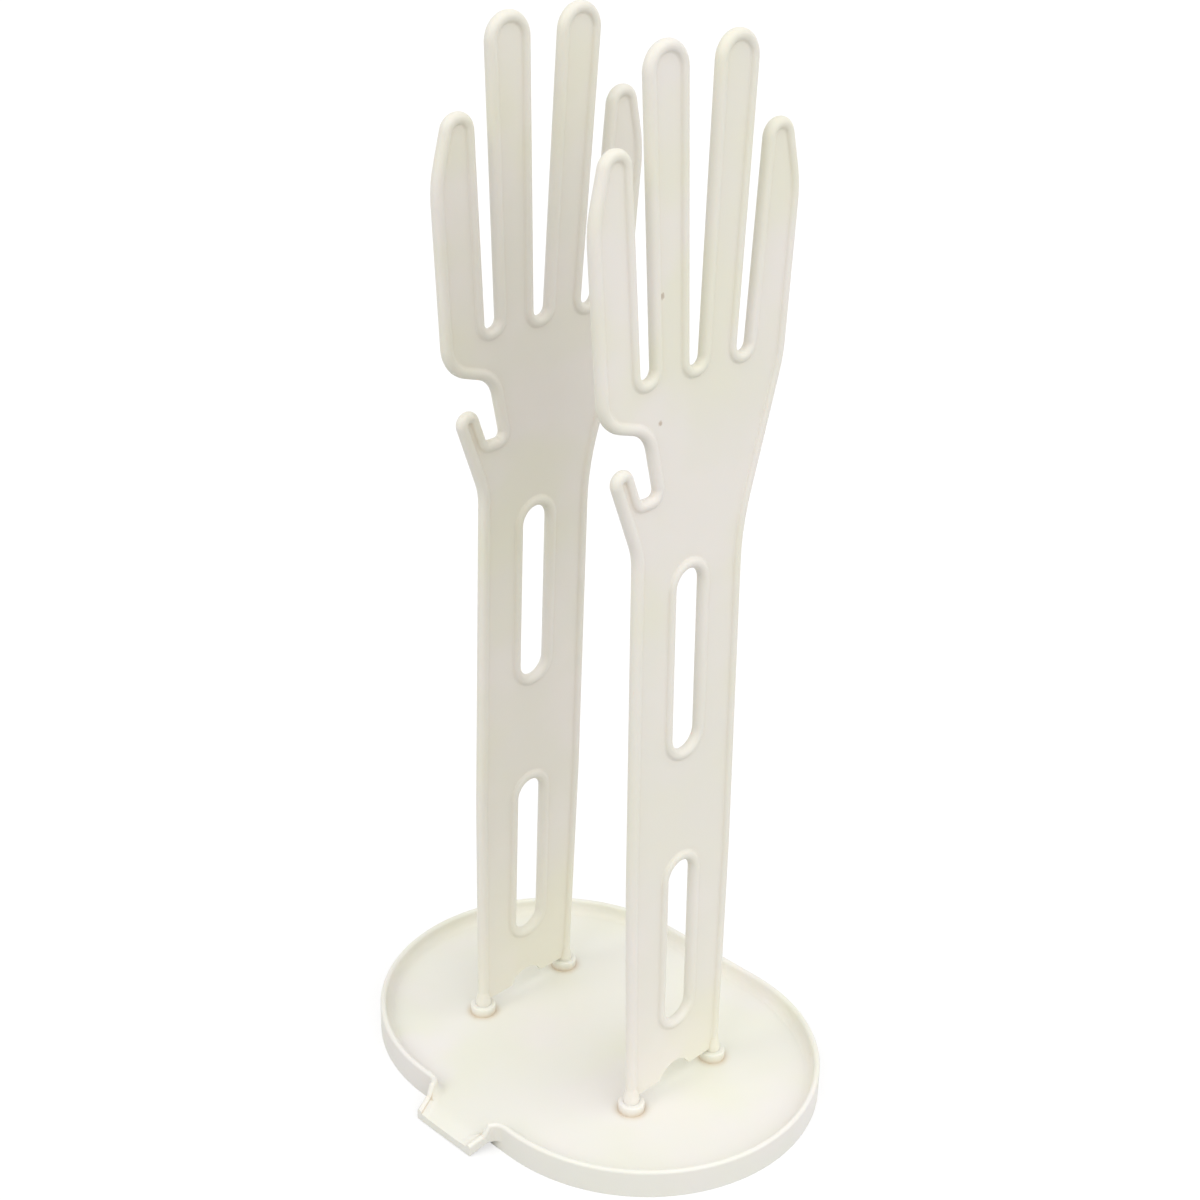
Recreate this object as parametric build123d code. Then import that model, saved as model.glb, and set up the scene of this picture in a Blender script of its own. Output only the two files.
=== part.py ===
from build123d import *
import math
import os

# Glove drying rack: two flat hand-shaped forms stand side by side in an oval drip tray.
# Millimetres. X runs across the hands, Y along the tray, +Z is up.
# The origin is on the table, at the middle of the tray. The spout points along -X.

# Drip tray
tray_width = 122.5            # along X, without the spout
tray_height = 10.0
wall_thickness = 2.0
floor_top = 4.8
floor_thickness = 2.0
wall_straight = 1.2           # upright part of the wall, between its rim and the floor's corner
collar_diameter = 8.8
collar_height = 3.3           # above the tray's floor
collar_edge_radius = 0.6
boss_bottom = 0.3

# Spout, in the middle of the tray's -X side
spout_reach = 9.5             # past the tray's side
spout_root_width = 31.5
spout_narrowing = 2.75        # of each cheek, on its way to the lip
spout_side_room = 5.9         # straight wall left on each side of the spout
spout_corner_radius = 3.0     # where the tray's wall turns out to the cheeks
spout_shoulder_drop = 3.7     # steep start of the cheeks, below the tray's rim
spout_shoulder_length = 2.0
spout_cheek_fall = 2.0        # last slope of the cheeks, down to the lip
spout_thickness = 1.5         # under the level part of its floor
spout_fall_length = 4.5       # where the cheeks and the floor fall to the lip
spout_floor_radius = 10.0     # where the floor's fall begins
spout_lip_underside = 0.3
spout_lip_thickness = 2.7
spout_wedge_length = 6.0      # where the underside rises from the lip

# Hand form: sizes are over the outside of its round rim
total_height = 350.0          # above the table, to the top of the two long fingers
finger_length = 92.0          # from the bottom of the finger gaps to the top
short_finger_drop = 26.1      # how much lower the two outer fingers end
palm_length = 56.5            # from where the arm widens to the bottom of the finger gaps
rim_diameter = 3.8
web_thickness = 1.8
rim_crown = 0.3               # part of the rim's height left above the hollow beside it
form_lean = 1.0               # degrees, the two forms lean towards each other

finger_gap_base = 5.1         # clear width of a finger gap at its bottom
middle_gap_top = 12.4         # clear width of the middle gap at the fingertips
outer_gap_top = 4.5           # from a long fingertip to an outer one, sideways
long_finger_base = 14.9
long_finger_tip = 16.9
short_finger_base = 16.65
short_finger_tip = 10.5       # across the narrow end
short_finger_bulge = 4.8      # how far the outer edge swells out past that end
short_finger_taper = 19.9     # from the end down to the swell
bulge_radius = 36.0
knuckle_drop = 5.5            # where the outer fingers start, below the gaps' bottom
knuckle_radius = 40.0
round_end_flat = 0.3          # straight part left in the middle of a fingertip

arm_half_width = 23.5
arm_top_radius = 75.0
arm_taper_start = 90.0        # height below which the arm narrows to its feet
arm_taper_radius = 400.0
foot_taper = 1.6              # how much it narrows, on each side

slot_width = 10.8             # clear
slot_spacing = 41.0           # from one slot to the other
slot_top_room = 6.8           # from the upper slot to where the arm widens
slot_bottom_room = 22.3       # from the web's lower edge to the lower slot

# Thumb stub and the notch above it, on the -X side of each hand
thumb_width = 8.2
thumb_reach = 5.2             # from the arm's side to the middle of the thumb's round end
thumb_drop = 28.8             # from the bottom of the finger gaps down to there
thumb_lean = 21.5             # degrees from upright
thumb_root_radius = 20.0
notch_drop = 35.9             # bottom of the notch, below the bottom of the finger gaps
notch_depth = 8.3             # from the arm's side to the bottom of the notch's inner side
notch_radius = 1.6
notch_top_depth = 3.8         # from the arm's side to the top of the notch's inner side
notch_top_drop = 16.9
notch_top_radius = 9.0
heel_recess = 0.9             # heel of the palm, inside the other side's knuckle
heel_drop = 11.4
heel_radius = 12.0

# Lower edge of a hand form
web_clearance = 1.3           # above the collars
arch_radius = 8.0             # arch cut into the middle of the lower edge
arch_drop = 3.4               # centre of the arch, below the lower edge

# Feet of a hand form and their sockets in the tray
pin_diameter = 5.4
pin_cone_height = 4.0
pin_end_chamfer = 0.5
form_spacing = 73.2           # between the two forms, at the pins' ends
socket_clearance = 0.1        # on the diameter
seat_height = 1.5             # where a pin's end rests, above the table

# Sizes that follow: tray
tray_length = tray_width + spout_root_width + 2 * spout_side_room
tray_rim_radius = wall_thickness / 2
tray_rim_height = tray_height - tray_rim_radius   # middle of the tray's round rim
floor_corner_radius = tray_rim_height - floor_top - wall_straight
wall_x = -tray_width / 2
lip_x = wall_x - spout_reach
underside = floor_top - floor_thickness
spout_underside = floor_top - spout_thickness
lip_top = spout_lip_underside + spout_lip_thickness
shoulder_height = tray_rim_height - spout_shoulder_drop
collar_top = floor_top + collar_height
past = 5.0                                        # how far a cutting shape overruns

# Sizes that follow: hand form
rim_radius = rim_diameter / 2
web_blend_radius = rim_radius - web_thickness / 2 - rim_crown
pin_radius = pin_diameter / 2
foot_half_width = arm_half_width - foot_taper
foot_x = foot_half_width - rim_radius
web_bottom = collar_top + web_clearance
gap_bottom = total_height - finger_length
short_finger_top = total_height - short_finger_drop
arm_top = gap_bottom - palm_length
lower_slot_bottom = web_bottom + slot_bottom_room
slot_length = (arm_top - slot_top_room - slot_spacing - lower_slot_bottom) / 2
upper_slot_bottom = lower_slot_bottom + slot_length + slot_spacing
knuckle_height = gap_bottom - knuckle_drop
outer_gap_middle = finger_gap_base + long_finger_base
short_finger_base_x = outer_gap_middle + finger_gap_base / 2
short_finger_top_x = middle_gap_top / 2 + long_finger_tip + outer_gap_top
knuckle_half_width = short_finger_base_x + short_finger_base


def turn(direction, degrees):
    """The direction, turned by an angle to the left in the XZ plane."""
    a = math.radians(degrees)
    return Vector(
        direction.X * math.cos(a) - direction.Z * math.sin(a),
        0,
        direction.X * math.sin(a) + direction.Z * math.cos(a),
    )


def rounded_path(corners, inset=0.0):
    """Lines and tangent arcs in the XZ plane along corners (x, z, radius).

    The path is moved by inset to the right of its direction of travel, which is
    the inner side when it runs clockwise. A corner with no radius stays sharp.
    """
    points = [Vector(x, 0, z) for x, z, _ in corners]
    along = [(b - a).normalized() for a, b in zip(points, points[1:])]
    right = [Vector(d.Z, 0, -d.X) for d in along]
    pieces = []
    place = points[0] + right[0] * inset
    for i in range(1, len(along)):
        before, after = along[i - 1], along[i]
        side = before.X * after.Z - before.Z * after.X
        angle = math.acos(before.dot(after))
        radius = corners[i][2] and corners[i][2] + math.copysign(inset, side)
        cut = radius * math.tan(angle / 2)
        corner = points[i] + (right[i - 1] + right[i]) * (inset / (1 + before.dot(after)))
        start, end = corner - before * cut, corner + after * cut
        middle = corner + (after - before).normalized() * (
            radius / math.cos(angle / 2) - radius
        )
        if (start - place).length > 1e-6:
            pieces.append(Edge.make_line(place, start))
        if radius:
            pieces.append(Edge.make_three_point_arc(start, middle, end))
        place = end
    pieces.append(Edge.make_line(place, points[-1] + right[-1] * inset))
    return Wire(pieces)


def shut(path):
    """The face inside an open path and the straight line that shuts it."""
    return make_face(
        Wire([*path.edges(), Edge.make_line(path.position_at(1), path.position_at(0))])
    )


def flat(path):
    """A path from the XZ plane laid down in the XY plane."""
    return Rot(-90, 0, 0) * path


def tube(path, radius):
    """A round bar along a path."""
    section = Plane(origin=path.position_at(0), z_dir=path.tangent_at(0)) * Circle(radius)
    return sweep(section, path=path)


def sheet_of(face, thickness):
    """A sheet from a face in the XZ plane, half its thickness to each side."""
    return extrude(face, amount=thickness / 2, dir=(0, 1, 0), both=True)


def slab(face, bottom, top):
    """A plate between two heights from a face in the XY plane."""
    return Pos(0, 0, bottom) * extrude(face, amount=top - bottom, dir=(0, 0, 1))


def column(x, y, bottom, top, radius):
    """An upright cylinder between two heights."""
    return Pos(x, y, bottom) * Cylinder(
        radius, top - bottom, align=(Align.CENTER, Align.CENTER, Align.MIN)
    )


def round_end(before, left, right, after):
    """The corners left and right, (x, z) each, with the radius that makes them a round end."""
    def reach(a, b, c):
        a, b, c = (Vector(p[0], 0, p[1]) for p in (a, b, c))
        return math.tan(math.acos((b - a).normalized().dot((c - b).normalized())) / 2)

    width = math.dist(left, right)
    radius = (width - round_end_flat) / (reach(before, left, right) + reach(left, right, after))
    return [(*left, radius), (*right, radius)]


def outer_finger():
    """The +X outer finger's corners, clockwise from the top of its gap to its bulge."""
    end_x = short_finger_top_x + short_finger_tip
    bulge = (end_x + short_finger_bulge, short_finger_top - short_finger_taper)
    tip = round_end(
        (short_finger_base_x, gap_bottom),
        (short_finger_top_x, short_finger_top),
        (end_x, short_finger_top),
        bulge,
    )
    return tip + [(*bulge, bulge_radius)]


def mirrored(corners):
    """The same corners on the hand's other side, still clockwise."""
    return [(-x, z, radius) for x, z, radius in reversed(corners)]


def thumb_and_notch():
    """The corners from the thumb's root over the notch to the heel of the palm."""
    lean = turn(Vector(0, 0, 1), thumb_lean)
    across = turn(lean, -90)
    tip = Vector(-arm_half_width - thumb_reach, 0, gap_bottom - thumb_drop)
    outer = tip + (lean - across) * (thumb_width / 2)
    inner = tip + (lean + across) * (thumb_width / 2)
    root = outer - lean * ((outer.X + arm_half_width) / lean.X)
    notch_bottom = gap_bottom - notch_drop
    notch_left = inner - lean * ((inner.Z - notch_bottom) / lean.Z)
    thumb_end = round_end(
        (root.X, root.Z), (outer.X, outer.Z), (inner.X, inner.Z), (notch_left.X, notch_bottom)
    )
    return [
        (-arm_half_width, root.Z, thumb_root_radius),
        *thumb_end,
        (notch_left.X, notch_bottom, notch_radius),
        (notch_depth - arm_half_width, notch_bottom, notch_radius),
        (notch_top_depth - arm_half_width, gap_bottom - notch_top_drop, notch_top_radius),
        (heel_recess - knuckle_half_width, gap_bottom - heel_drop, heel_radius),
    ]


def hand_corners():
    """The hand's outside, clockwise from its left foot to its right foot."""
    half_gap = finger_gap_base / 2
    long_in_top = middle_gap_top / 2
    long_finger = round_end(
        (half_gap, gap_bottom),
        (long_in_top, total_height),
        (long_in_top + long_finger_tip, total_height),
        (outer_gap_middle - half_gap, gap_bottom),
    )

    def gap(centre):
        r = half_gap - round_end_flat / 2
        return [(centre - half_gap, gap_bottom, r), (centre + half_gap, gap_bottom, r)]

    arm_bend = (arm_half_width, arm_taper_start, arm_taper_radius)
    foot_end = (foot_half_width, web_bottom, 0)
    return (
        mirrored([arm_bend, foot_end])
        + thumb_and_notch()
        + mirrored(outer_finger())
        + gap(-outer_gap_middle)
        + mirrored(long_finger)
        + gap(0)
        + long_finger
        + gap(outer_gap_middle)
        + outer_finger()
        + [
            (knuckle_half_width, knuckle_height, knuckle_radius),
            (arm_half_width, arm_top, arm_top_radius),
            arm_bend,
            foot_end,
        ]
    )


def slot_at(bottom):
    """A slot in the XZ plane, out to the middle of its round rim."""
    plan = SlotOverall(slot_length + rim_diameter, slot_width + rim_diameter, rotation=90)
    return Pos(0, 0, bottom + slot_length / 2) * Rot(90, 0, 0) * plan


def foot(x):
    """A foot pin, with a cone that runs out into the rim above it."""
    pin = column(x, 0, seat_height, web_bottom, pin_radius)
    pin = chamfer(pin.faces().sort_by(Axis.Z)[0].edges(), pin_end_chamfer)
    cone = Pos(x, 0, web_bottom) * Cone(
        pin_radius, rim_radius, pin_cone_height, align=(Align.CENTER, Align.CENTER, Align.MIN)
    )
    return pin + cone


def hand_form():
    """One upright hand form in the plane y = 0: web, rim, two slots, arch and feet."""
    outline = rounded_path(hand_corners(), inset=rim_radius)
    form = sheet_of(shut(outline), web_thickness) + tube(outline, rim_radius)
    for bottom in (lower_slot_bottom, upper_slot_bottom):
        slot = slot_at(bottom)
        form -= sheet_of(slot, web_thickness)
        form += tube(slot.wire(), rim_radius)
    web_face = web_thickness / 2
    hollows = form.edges().filter_by(
        lambda e: all(abs(abs(e.position_at(t).Y) - web_face) < 1e-4 for t in (0, 0.3, 0.7, 1))
        and e.center().Z > web_bottom + rim_radius
    )
    form = fillet(hollows, web_blend_radius)
    arch = Pos(0, 0, web_bottom - arch_drop) * Rot(90, 0, 0) * Cylinder(arch_radius, rim_diameter)
    form -= arch
    for x in (-foot_x, foot_x):
        form += foot(x)
    return form


def placed(shape, side):
    """A form or its sockets, moved to the front (side = -1) or the rear (side = 1)."""
    seat = Pos(0, side * form_spacing / 2, seat_height)
    return seat * Rot(side * form_lean, 0, 0) * Pos(0, 0, -seat_height) * shape


def tray_corners(overrun=0.0):
    """The tray's outside, clockwise from the spout's lip round to the lip."""
    half_width, half_length = tray_width / 2, tray_length / 2
    root = spout_root_width / 2
    tip = root - spout_narrowing * (1 + overrun / spout_reach)
    return [
        (lip_x - overrun, tip, 0),
        (wall_x, root, spout_corner_radius),
        (wall_x, half_length, half_width),
        (half_width, half_length, half_width),
        (half_width, -half_length, half_width),
        (wall_x, -half_length, half_width),
        (wall_x, -root, spout_corner_radius),
        (lip_x - overrun, -tip, 0),
    ]


def tray_path(inset, overrun=0.0):
    """The tray's outside in the XY plane, moved inwards by inset."""
    return flat(rounded_path(tray_corners(overrun), inset=inset))


def oval(inset):
    """The tray's plan without the spout, moved inwards by inset."""
    return SlotOverall(tray_length - 2 * inset, tray_width - 2 * inset, rotation=90)


def block_across(*points):
    """A block right across the tray, with a side profile of (x, z) points."""
    profile = make_face(Polyline(*[(x, 0, z) for x, z in points], close=True))
    return sheet_of(profile, 2 * tray_length)


def tray_hollow():
    """The room inside the tray and its spout: a level floor that bends down to the lip."""
    room = slab(shut(tray_path(wall_thickness, past)), 0, tray_rim_height)
    fall = (floor_top - lip_top) / spout_fall_length
    level = rounded_path(
        [
            (tray_width, floor_top, 0),
            (lip_x + spout_fall_length, floor_top, spout_floor_radius),
            (lip_x - 2 * past, lip_top - 2 * past * fall, 0),
            (lip_x - 2 * past, -2 * past, 0),
            (tray_width, -2 * past, 0),
        ]
    )
    room -= sheet_of(shut(level), 2 * tray_length)
    corners = room.edges().filter_by(
        lambda e: e.center().Z < floor_top + 1e-3
        and not (abs(e.center().Y) < 1e-3 and e.center().X < wall_x + wall_thickness)
    )
    return fillet(corners, floor_corner_radius)


def cheek_places(cheek):
    """Middle of the rim at the bends of a cheek and at its lip, given its line in plan."""
    end, root = [Vector(*v) for v in cheek.vertices().sort_by(Axis.X)]
    along = (end - root) / (root.X - end.X)
    shoulder = root + along * spout_shoulder_length
    knee = end - along * spout_fall_length
    return (
        root + Vector(0, 0, tray_rim_height),
        shoulder + Vector(0, 0, shoulder_height),
        knee + Vector(0, 0, shoulder_height),
        end + Vector(0, 0, shoulder_height - spout_cheek_fall),
    )


def tray_rim():
    """The tray's round rim, level along the wall and falling along the spout's cheeks."""
    edges = tray_path(tray_rim_radius).edges()
    rim = Pos(0, 0, tray_rim_height) * tube(Wire(edges[1:-1]), tray_rim_radius)
    for cheek in (edges[0], edges[-1]):
        root, shoulder, knee, end = cheek_places(cheek)
        overrun = (end - knee).normalized() * tray_rim_radius
        for start, stop in ((root, shoulder), (shoulder, knee), (knee, end + overrun)):
            rim += tube(Edge.make_line(start, stop), tray_rim_radius)
            rim += Pos(*start) * Sphere(tray_rim_radius)
    return rim


def drip_tray():
    """Oval tray with a raised floor, a spout and four sockets for the forms' feet."""
    tray = slab(shut(tray_path(0)), 0, tray_rim_height)
    root, shoulder, knee, end = cheek_places(tray_path(tray_rim_radius).edges()[0])
    fall = (knee.Z - end.Z) / (knee.X - end.X)
    tray -= block_across(
        (root.X, root.Z),
        (shoulder.X, shoulder.Z),
        (knee.X, knee.Z),
        (lip_x - past, end.Z - fall * (end.X - lip_x + past)),
        (lip_x - past, tray_height),
        (root.X, tray_height),
    )
    tray -= block_across(
        (wall_x, -past),
        (wall_x, spout_underside),
        (lip_x + spout_wedge_length, spout_underside),
        (lip_x, spout_lip_underside),
        (lip_x - past, spout_lip_underside),
        (lip_x - past, -past),
    )
    tray += slab(oval(0), 0, underside)
    tray -= slab(oval(wall_thickness), 0, underside)
    tray += tray_rim()
    tray -= Pos(lip_x, 0, 0) * Box(
        past, tray_width, 2 * tray_height, align=(Align.MAX, Align.CENTER, Align.MIN)
    )
    tray -= tray_hollow()

    for side in (-1, 1):
        for x in (-foot_x, foot_x):
            boss = column(x, side * form_spacing / 2, boss_bottom, collar_top, collar_diameter / 2)
            tray += fillet(boss.edges().sort_by(Axis.Z)[-1], collar_edge_radius)
            socket = column(
                x, 0, seat_height, collar_top + collar_height, pin_radius + socket_clearance / 2
            )
            tray -= placed(socket, side)
    return tray


if __name__ == "__main__":
    os.makedirs("parts", exist_ok=True)
    form = hand_form()
    nodes = {
        "drip_tray": drip_tray(),
        "front_hand_form": placed(form, -1),
        "rear_hand_form": placed(form, 1),
    }
    for name, solid in nodes.items():
        solid.label = name
        export_step(solid, f"parts/{name}.step")
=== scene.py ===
"""Glove drying rack: two flat hand forms stand on the feet that plug into an oval drip tray.

The file is laid out as an add-on. Its sizes and colours are settings in two groups, one operator
finishes each kind of piece, one sets the stage, and a panel in the 3D view lists them all.
All lengths are metres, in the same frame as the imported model: +Z is up and the forms' flat sides
look along Y.
"""

import math

import bpy
from bpy.props import FloatProperty, FloatVectorProperty, PointerProperty
from bpy.types import Operator, Panel, PropertyGroup
from mathutils import Matrix, Vector


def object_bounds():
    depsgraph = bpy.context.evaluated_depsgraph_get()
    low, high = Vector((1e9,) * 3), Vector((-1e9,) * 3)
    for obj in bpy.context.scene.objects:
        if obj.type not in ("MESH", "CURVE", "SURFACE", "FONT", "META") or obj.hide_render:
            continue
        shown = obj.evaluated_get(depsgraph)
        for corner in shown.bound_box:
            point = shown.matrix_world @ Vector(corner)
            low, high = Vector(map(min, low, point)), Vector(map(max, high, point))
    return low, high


bl_info = {
    "name": "Glove Drying Rack",
    "version": (1, 0, 0),
    "blender": (4, 5, 0),
    "location": "3D View > Sidebar > Glove Rack",
    "description": "Finishes a two-hand glove drying rack with a drip tray, and lights it",
    "category": "Object",
}

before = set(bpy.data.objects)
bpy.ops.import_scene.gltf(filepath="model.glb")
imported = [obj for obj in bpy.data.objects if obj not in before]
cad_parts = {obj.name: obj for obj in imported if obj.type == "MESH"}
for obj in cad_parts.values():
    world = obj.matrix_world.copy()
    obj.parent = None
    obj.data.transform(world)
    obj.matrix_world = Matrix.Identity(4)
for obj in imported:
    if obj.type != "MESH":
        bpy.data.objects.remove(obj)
cad_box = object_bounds()

MM = 0.001
TRAY = "drip_tray"
FORMS = ("front_hand_form", "rear_hand_form")
PICTURE_SIDE = 1200
SENSOR_WIDTH = 36.0

# Dark specks in the front form's face: place and width.
FRONT_SPECKS = (
    ((-14.8 * MM, -32.6 * MM, 281 * MM), 1.6 * MM),
    ((-14.2 * MM, -33.3 * MM, 244 * MM), 1.3 * MM),
)
KEY_COLOUR = (1.0, 0.985, 0.96)
FRONT_LIGHT_COLOUR = (1.0, 1.0, 1.0)
FLOOR_BOUNCE = (0.5, 0.5, 0.5)


class GloveRackFinish(PropertyGroup):
    """Colours and surface of the moulded plastic."""

    form_colour: FloatVectorProperty(
        name="Form colour", description="Body colour of the two hand forms",
        subtype="COLOR", size=3, min=0, max=1, default=(0.80, 0.775, 0.70))
    form_warm_colour: FloatVectorProperty(
        name="Form warm colour", description="Yellower patches of the hand forms",
        subtype="COLOR", size=3, min=0, max=1, default=(0.80, 0.78, 0.66))
    form_pale_colour: FloatVectorProperty(
        name="Form pale colour", description="Paler, rosier patches of the hand forms",
        subtype="COLOR", size=3, min=0, max=1, default=(0.82, 0.785, 0.73))
    tray_colour: FloatVectorProperty(
        name="Tray colour", description="Body colour of the drip tray",
        subtype="COLOR", size=3, min=0, max=1, default=(0.82, 0.81, 0.745))
    tray_warm_colour: FloatVectorProperty(
        name="Tray warm colour", description="Yellower patches of the drip tray",
        subtype="COLOR", size=3, min=0, max=1, default=(0.81, 0.805, 0.705))
    tray_pale_colour: FloatVectorProperty(
        name="Tray pale colour", description="Paler, rosier patches of the drip tray",
        subtype="COLOR", size=3, min=0, max=1, default=(0.83, 0.805, 0.765))
    # Painted shade: this colour is laid into hollow corners, where the web meets the rim, to stand in for the
    # shade that falls there.
    corner_shade_colour: FloatVectorProperty(
        name="Corner colour", description="Tint that gathers where the web meets the rim",
        subtype="COLOR", size=3, min=0, max=1, default=(0.60, 0.47, 0.31))
    speck_colour: FloatVectorProperty(
        name="Speck colour", description="Dark specks in the front form's plastic",
        subtype="COLOR", size=3, min=0, max=1, default=(0.42, 0.30, 0.20))
    # Reach and strength of the painted corner shade.
    corner_shade_reach: FloatProperty(
        name="Corner reach", description="How far the tint spreads out of a corner",
        subtype="DISTANCE", unit="LENGTH", min=0.0001, max=0.02, default=3.0 * MM)
    corner_shade_strength: FloatProperty(
        name="Corner strength", description="Share of the corner tint at its deepest",
        subtype="FACTOR", min=0, max=1, default=0.7)
    patch_size: FloatProperty(
        name="Patch size", description="Width of the broad colour patches",
        subtype="DISTANCE", unit="LENGTH", min=0.005, max=0.5, default=55 * MM)
    grain_size: FloatProperty(
        name="Grain size", description="Spacing of the fine moulded grain",
        subtype="DISTANCE", unit="LENGTH", min=0.0001, max=0.01, default=0.7 * MM)
    grain_depth: FloatProperty(
        name="Grain depth", description="Height of the fine moulded grain",
        subtype="DISTANCE", unit="LENGTH", min=0, max=0.001, default=0.02 * MM)
    ripple_size: FloatProperty(
        name="Ripple size", description="Width of the slow waves that cooling leaves in a flat face",
        subtype="DISTANCE", unit="LENGTH", min=0.001, max=0.1, default=17 * MM)
    ripple_depth: FloatProperty(
        name="Ripple depth", description="Height of those slow waves",
        subtype="DISTANCE", unit="LENGTH", min=0, max=0.001, default=0.05 * MM)
    gloss_roughness: FloatProperty(
        name="Roughness", description="Roughness of the satin plastic",
        subtype="FACTOR", min=0, max=1, default=0.42)


class GloveRackStage(PropertyGroup):
    """Camera, lamps and floor."""

    camera_place: FloatVectorProperty(
        name="Camera place", description="Where the camera stands",
        subtype="TRANSLATION", unit="LENGTH", size=3,
        default=(-398.274 * MM, -384.763 * MM, 433.423 * MM))
    camera_yaw: FloatProperty(
        name="Camera yaw", description="Heading of the view, from +Y towards +X",
        subtype="ANGLE", unit="ROTATION", default=0.798975)
    camera_pitch: FloatProperty(
        name="Camera pitch", description="Rise of the view above level",
        subtype="ANGLE", unit="ROTATION", default=-0.440202)
    camera_roll: FloatProperty(
        name="Camera roll", description="Turn of the camera about the view",
        subtype="ANGLE", unit="ROTATION", default=0.0232854)
    focal_pixels: FloatProperty(
        name="Focal length in pixels", description="Focal length, in pixels of a 1200 pixel picture",
        min=100, max=20000, default=1948.1)
    key_strength: FloatProperty(
        name="Key strength", description="Brightness of the broad main lamp",
        min=0, max=20, default=0.9)
    key_heading: FloatProperty(
        name="Key heading", description="Where the main light comes from, from -Y towards -X",
        subtype="ANGLE", unit="ROTATION", default=math.radians(92))
    key_height: FloatProperty(
        name="Key height", description="How high the main light stands",
        subtype="ANGLE", unit="ROTATION", default=math.radians(44))
    key_spread: FloatProperty(
        name="Key spread", description="Apparent width of the main light",
        subtype="ANGLE", unit="ROTATION", default=math.radians(40))
    front_strength: FloatProperty(
        name="Front strength", description="Brightness of the lamp that faces the front form",
        min=0, max=20, default=1.2)
    front_heading: FloatProperty(
        name="Front heading", description="Where the front light comes from, from -Y towards -X",
        subtype="ANGLE", unit="ROTATION", default=math.radians(-12))
    front_height: FloatProperty(
        name="Front height", description="How high the front light stands",
        subtype="ANGLE", unit="ROTATION", default=math.radians(34))
    front_spread: FloatProperty(
        name="Front spread", description="Apparent width of the front light",
        subtype="ANGLE", unit="ROTATION", default=math.radians(90))
    room_strength: FloatProperty(
        name="Room strength", description="Brightness of the light from all round",
        min=0, max=5, default=0.72)
    floor_glow: FloatProperty(
        name="Floor glow", description="Share of the floor's white that shadows leave alone",
        subtype="FACTOR", min=0, max=1, default=0.6)
    floor_size: FloatProperty(
        name="Floor size", description="Width of the floor",
        subtype="DISTANCE", unit="LENGTH", min=1, max=100, default=40.0)


class Nodes:
    """Builds one material's node tree, a node at a time."""

    def __init__(self, material):
        material.use_nodes = True
        self.tree = material.node_tree
        self.tree.nodes.clear()

    def add(self, kind, inputs=None, **settings):
        node = self.tree.nodes.new(kind)
        for name, value in settings.items():
            setattr(node, name, value)
        for name, value in (inputs or {}).items():
            socket = node.inputs[name]
            if isinstance(value, bpy.types.NodeSocket):
                self.tree.links.new(value, socket)
            else:
                socket.default_value = value
        return node

    def noise(self, where, size, detail, roughness=0.5):
        node = self.add("ShaderNodeTexNoise",
                        {"Vector": where, "Scale": 1 / size, "Detail": detail, "Roughness": roughness})
        return node.outputs["Fac"]

    def ramp(self, value, low, high, start=0.0, end=1.0):
        node = self.add("ShaderNodeMapRange",
                        {"Value": value, "From Min": low, "From Max": high, "To Min": start, "To Max": end},
                        interpolation_type="SMOOTHSTEP")
        return node.outputs["Result"]

    def math(self, operation, first, second):
        return self.add("ShaderNodeMath", {0: first, 1: second}, operation=operation).outputs[0]

    def mix(self, share, first, second):
        node = self.add("ShaderNodeMix", data_type="RGBA")
        for socket, value in ((node.inputs[0], share), (node.inputs[6], first), (node.inputs[7], second)):
            if isinstance(value, bpy.types.NodeSocket):
                self.tree.links.new(value, socket)
            else:
                socket.default_value = value
        return node.outputs[2]


def opaque(colour):
    return (*colour, 1.0)


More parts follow.
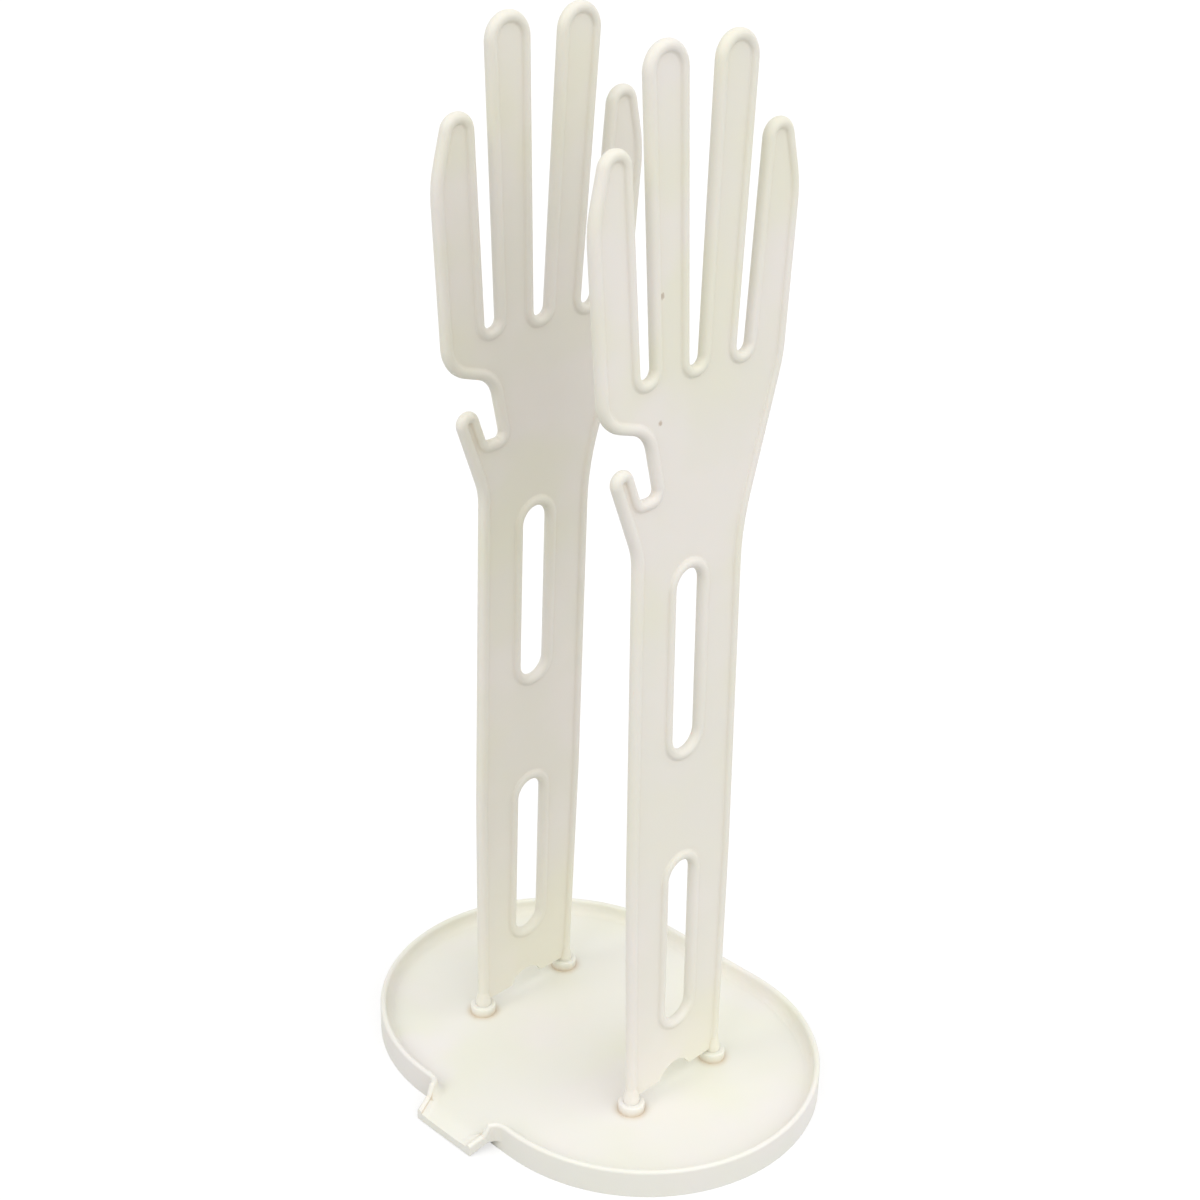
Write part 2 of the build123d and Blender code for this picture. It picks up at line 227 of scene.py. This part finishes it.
def moulded_plastic(name, finish, body, warm, pale, specks=()):
    """Satin moulded plastic: slow patches of warm and pale, painted shade in the corners, grain and ripples.
    """
    material = bpy.data.materials.new(name)
    nodes = Nodes(material)
    where = nodes.add("ShaderNodeTexCoord").outputs["Object"]

    warm_share = nodes.ramp(nodes.noise(where, finish.patch_size, 2.0), 0.42, 0.66)
    shifted = nodes.add("ShaderNodeVectorMath", {0: where, 1: (0.31, 0.17, 0.23)}, operation="ADD").outputs[0]
    pale_share = nodes.ramp(nodes.noise(shifted, finish.patch_size * 0.7, 2.0), 0.45, 0.68)
    colour = nodes.mix(warm_share, opaque(body), opaque(warm))
    colour = nodes.mix(pale_share, colour, opaque(pale))

    # Painted shade: an ambient occlusion mask darkens the corners and hollows with the corner colour, broken
    # up a little by a noise cloud.
    gap = nodes.add("ShaderNodeAmbientOcclusion", {"Distance": finish.corner_shade_reach},
                    samples=8, only_local=True).outputs["AO"]
    cloud = nodes.noise(where, 9 * MM, 3.0)
    depth = nodes.ramp(gap, 0.45, 1.0, finish.corner_shade_strength, 0.0)
    depth = nodes.math("MULTIPLY", depth, nodes.ramp(cloud, 0.25, 0.7, 0.7, 1.0))
    colour = nodes.mix(depth, colour, opaque(finish.corner_shade_colour))

    for place, width in specks:
        wobble = nodes.add("ShaderNodeTexNoise", {"Vector": where, "Scale": 1 / (0.8 * MM), "Detail": 2.0})
        moved = nodes.add("ShaderNodeVectorMath", {0: wobble.outputs["Color"], 1: (0.5, 0.5, 0.5)},
                          operation="SUBTRACT").outputs[0]
        moved = nodes.add("ShaderNodeVectorMath", {0: moved, "Scale": width}, operation="SCALE").outputs[0]
        moved = nodes.add("ShaderNodeVectorMath", {0: where, 1: moved}, operation="ADD").outputs[0]
        away = nodes.add("ShaderNodeVectorMath", {0: moved, 1: place}, operation="DISTANCE").outputs["Value"]
        spot = nodes.ramp(away, width * 0.3, width * 0.75, 0.6, 0.0)
        colour = nodes.mix(spot, colour, opaque(finish.speck_colour))

    grain = nodes.noise(where, finish.grain_size, 4.0, 0.6)
    smear = nodes.noise(where, 24 * MM, 4.0, 0.6)
    rough = nodes.math("ADD", nodes.ramp(smear, 0.3, 0.7, -0.05, 0.05), finish.gloss_roughness)
    rough = nodes.math("ADD", rough, nodes.ramp(grain, 0.3, 0.7, -0.03, 0.03))

    ripple = nodes.noise(where, finish.ripple_size, 1.0)
    wave = nodes.add("ShaderNodeBump", {"Height": ripple, "Distance": finish.ripple_depth, "Strength": 1.0})
    bump = nodes.add("ShaderNodeBump", {"Height": grain, "Distance": finish.grain_depth, "Strength": 0.6,
                                        "Normal": wave.outputs["Normal"]})

    shader = nodes.add("ShaderNodeBsdfPrincipled", {
        "Base Color": colour, "Roughness": rough, "Normal": bump.outputs["Normal"],
        "IOR": 1.46, "Specular IOR Level": 0.4,
        "Subsurface Weight": 0.15, "Subsurface Radius": (1.0, 0.8, 0.55), "Subsurface Scale": 1.5 * MM})
    nodes.add("ShaderNodeOutputMaterial", {"Surface": shader.outputs["BSDF"]})
    return material


def dress(node, material):
    """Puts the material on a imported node, in every slot that it has."""
    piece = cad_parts[node]
    if not piece.material_slots:
        piece.data.materials.append(material)
    for slot in piece.material_slots:
        slot.material = material
    return piece


class GLOVERACK_OT_hand_forms(Operator):
    """Give the two hand forms their moulded plastic."""

    bl_idname = "glove_rack.hand_forms"
    bl_label = "Hand forms"

    def execute(self, context):
        finish = context.scene.glove_rack_finish
        for name, marks in zip(FORMS, (FRONT_SPECKS, ())):
            material = moulded_plastic(f"{name}_plastic", finish, finish.form_colour,
                                       finish.form_warm_colour, finish.form_pale_colour, marks)
            dress(name, material)
        return {"FINISHED"}


class GLOVERACK_OT_drip_tray(Operator):
    """Give the drip tray its moulded plastic."""

    bl_idname = "glove_rack.drip_tray"
    bl_label = "Drip tray"

    def execute(self, context):
        finish = context.scene.glove_rack_finish
        material = moulded_plastic(f"{TRAY}_plastic", finish, finish.tray_colour,
                                   finish.tray_warm_colour, finish.tray_pale_colour)
        dress(TRAY, material)
        return {"FINISHED"}


def heading(turn, height):
    """Unit vector towards a light, from its heading and height."""
    return Vector((-math.sin(turn) * math.cos(height), -math.cos(turn) * math.cos(height), math.sin(height)))


def lamp(name, strength, towards, spread, colour):
    light = bpy.data.lights.new(name, "SUN")
    light.energy, light.angle, light.color = strength, spread, colour
    holder = bpy.data.objects.new(name, light)
    holder.rotation_euler = towards.to_track_quat("Z", "Y").to_euler()
    holder.location = towards
    bpy.context.scene.collection.objects.link(holder)


def seen_ray(nodes):
    """1 for rays of the camera, a reflection or a refraction, and 0 for the rest."""
    path = nodes.add("ShaderNodeLightPath").outputs
    share = nodes.math("MAXIMUM", path["Is Camera Ray"], path["Is Glossy Ray"])
    return nodes.math("MAXIMUM", share, path["Is Transmission Ray"])


def white_floor(stage):
    """White floor that keeps a soft shadow."""
    material = bpy.data.materials.new("studio_floor")
    nodes = Nodes(material)
    where = nodes.add("ShaderNodeTexCoord").outputs["Object"]
    share = 1 - stage.floor_glow
    grain = nodes.ramp(nodes.noise(where, 2 * MM, 2.0), 0.2, 0.8, share * 0.995, share * 1.005)
    paper = nodes.add("ShaderNodeCombineColor", {"Red": grain, "Green": grain, "Blue": grain})
    matt = nodes.add("ShaderNodeBsdfDiffuse", {"Color": paper.outputs["Color"]})
    bounce = nodes.add("ShaderNodeBsdfDiffuse", {"Color": opaque(FLOOR_BOUNCE)})
    glow = nodes.add("ShaderNodeEmission", {"Color": (1, 1, 1, 1), "Strength": stage.floor_glow + 0.02})
    seen = nodes.add("ShaderNodeAddShader", {0: matt.outputs["BSDF"], 1: glow.outputs["Emission"]})
    both = nodes.add("ShaderNodeMixShader", {"Fac": seen_ray(nodes), 1: bounce.outputs["BSDF"],
                                             2: seen.outputs["Shader"]})
    nodes.add("ShaderNodeOutputMaterial", {"Surface": both.outputs["Shader"]})
    return material


def room(stage):
    """White room: its light comes from all round, and it looks plain white."""
    world = bpy.data.worlds.new("studio_room")
    nodes = Nodes(world)
    light = nodes.add("ShaderNodeBackground", {"Color": (1, 1, 1, 1), "Strength": stage.room_strength})
    plain = nodes.add("ShaderNodeBackground", {"Color": (1, 1, 1, 1), "Strength": 1.0})
    both = nodes.add("ShaderNodeMixShader", {"Fac": seen_ray(nodes), 1: light.outputs["Background"],
                                             2: plain.outputs["Background"]})
    nodes.add("ShaderNodeOutputWorld", {"Surface": both.outputs["Shader"]})
    bpy.context.scene.world = world


def place_camera(stage):
    """Camera at the photograph's place and viewing angle."""
    yaw, pitch, roll = stage.camera_yaw, stage.camera_pitch, stage.camera_roll
    ahead = Vector((math.sin(yaw) * math.cos(pitch), math.cos(yaw) * math.cos(pitch), math.sin(pitch)))
    level = ahead.cross(Vector((0, 0, 1))).normalized()
    above = level.cross(ahead)
    right = math.cos(roll) * level + math.sin(roll) * above
    up = -math.sin(roll) * level + math.cos(roll) * above
    camera = bpy.data.cameras.new("camera")
    camera.sensor_width = SENSOR_WIDTH
    camera.lens = stage.focal_pixels / PICTURE_SIDE * SENSOR_WIDTH
    camera.clip_start, camera.clip_end = 0.01, 100.0
    holder = bpy.data.objects.new("camera", camera)
    turn = Matrix((right, up, -ahead)).transposed().to_4x4()
    holder.matrix_world = Matrix.Translation(Vector(stage.camera_place)) @ turn
    bpy.context.scene.collection.objects.link(holder)
    bpy.context.scene.camera = holder


class GLOVERACK_OT_stage(Operator):
    """Set the floor, the soft lights and the camera."""

    bl_idname = "glove_rack.stage"
    bl_label = "Stage"

    def execute(self, context):
        stage = context.scene.glove_rack_stage
        half = stage.floor_size / 2
        corners = [(-half, -half, 0), (half, -half, 0), (half, half, 0), (-half, half, 0)]
        mesh = bpy.data.meshes.new("studio_floor")
        mesh.from_pydata(corners, [], [(0, 1, 2, 3)])
        mesh.materials.append(white_floor(stage))
        floor = bpy.data.objects.new("studio_floor", mesh)
        floor.location.z = cad_box[0].z
        context.scene.collection.objects.link(floor)
        lamp("key_light", stage.key_strength, heading(stage.key_heading, stage.key_height),
             stage.key_spread, KEY_COLOUR)
        lamp("front_light", stage.front_strength, heading(stage.front_heading, stage.front_height),
             stage.front_spread, FRONT_LIGHT_COLOUR)
        room(stage)
        place_camera(stage)
        context.scene.view_settings.view_transform = "Standard"
        return {"FINISHED"}


class GLOVERACK_PT_panel(Panel):
    """Lists the rack's pieces and their settings."""

    bl_idname = "GLOVERACK_PT_panel"
    bl_label = "Glove drying rack"
    bl_space_type = "VIEW_3D"
    bl_region_type = "UI"
    bl_category = "Glove Rack"

    def draw(self, context):
        for title, group, operators in (
            ("Finish", context.scene.glove_rack_finish, (GLOVERACK_OT_hand_forms, GLOVERACK_OT_drip_tray)),
            ("Stage", context.scene.glove_rack_stage, (GLOVERACK_OT_stage,)),
        ):
            box = self.layout.box()
            box.label(text=title)
            for name in group.__annotations__:
                box.prop(group, name)
            for operator in operators:
                box.operator(operator.bl_idname)


CLASSES = (GloveRackFinish, GloveRackStage, GLOVERACK_OT_hand_forms, GLOVERACK_OT_drip_tray,
           GLOVERACK_OT_stage, GLOVERACK_PT_panel)


def register():
    for cls in CLASSES:
        bpy.utils.register_class(cls)
    bpy.types.Scene.glove_rack_finish = PointerProperty(type=GloveRackFinish)
    bpy.types.Scene.glove_rack_stage = PointerProperty(type=GloveRackStage)


def unregister():
    del bpy.types.Scene.glove_rack_stage
    del bpy.types.Scene.glove_rack_finish
    for cls in reversed(CLASSES):
        bpy.utils.unregister_class(cls)


def main():
    register()
    bpy.ops.glove_rack.hand_forms()
    bpy.ops.glove_rack.drip_tray()
    bpy.ops.glove_rack.stage()


if __name__ == "__main__":
    main()
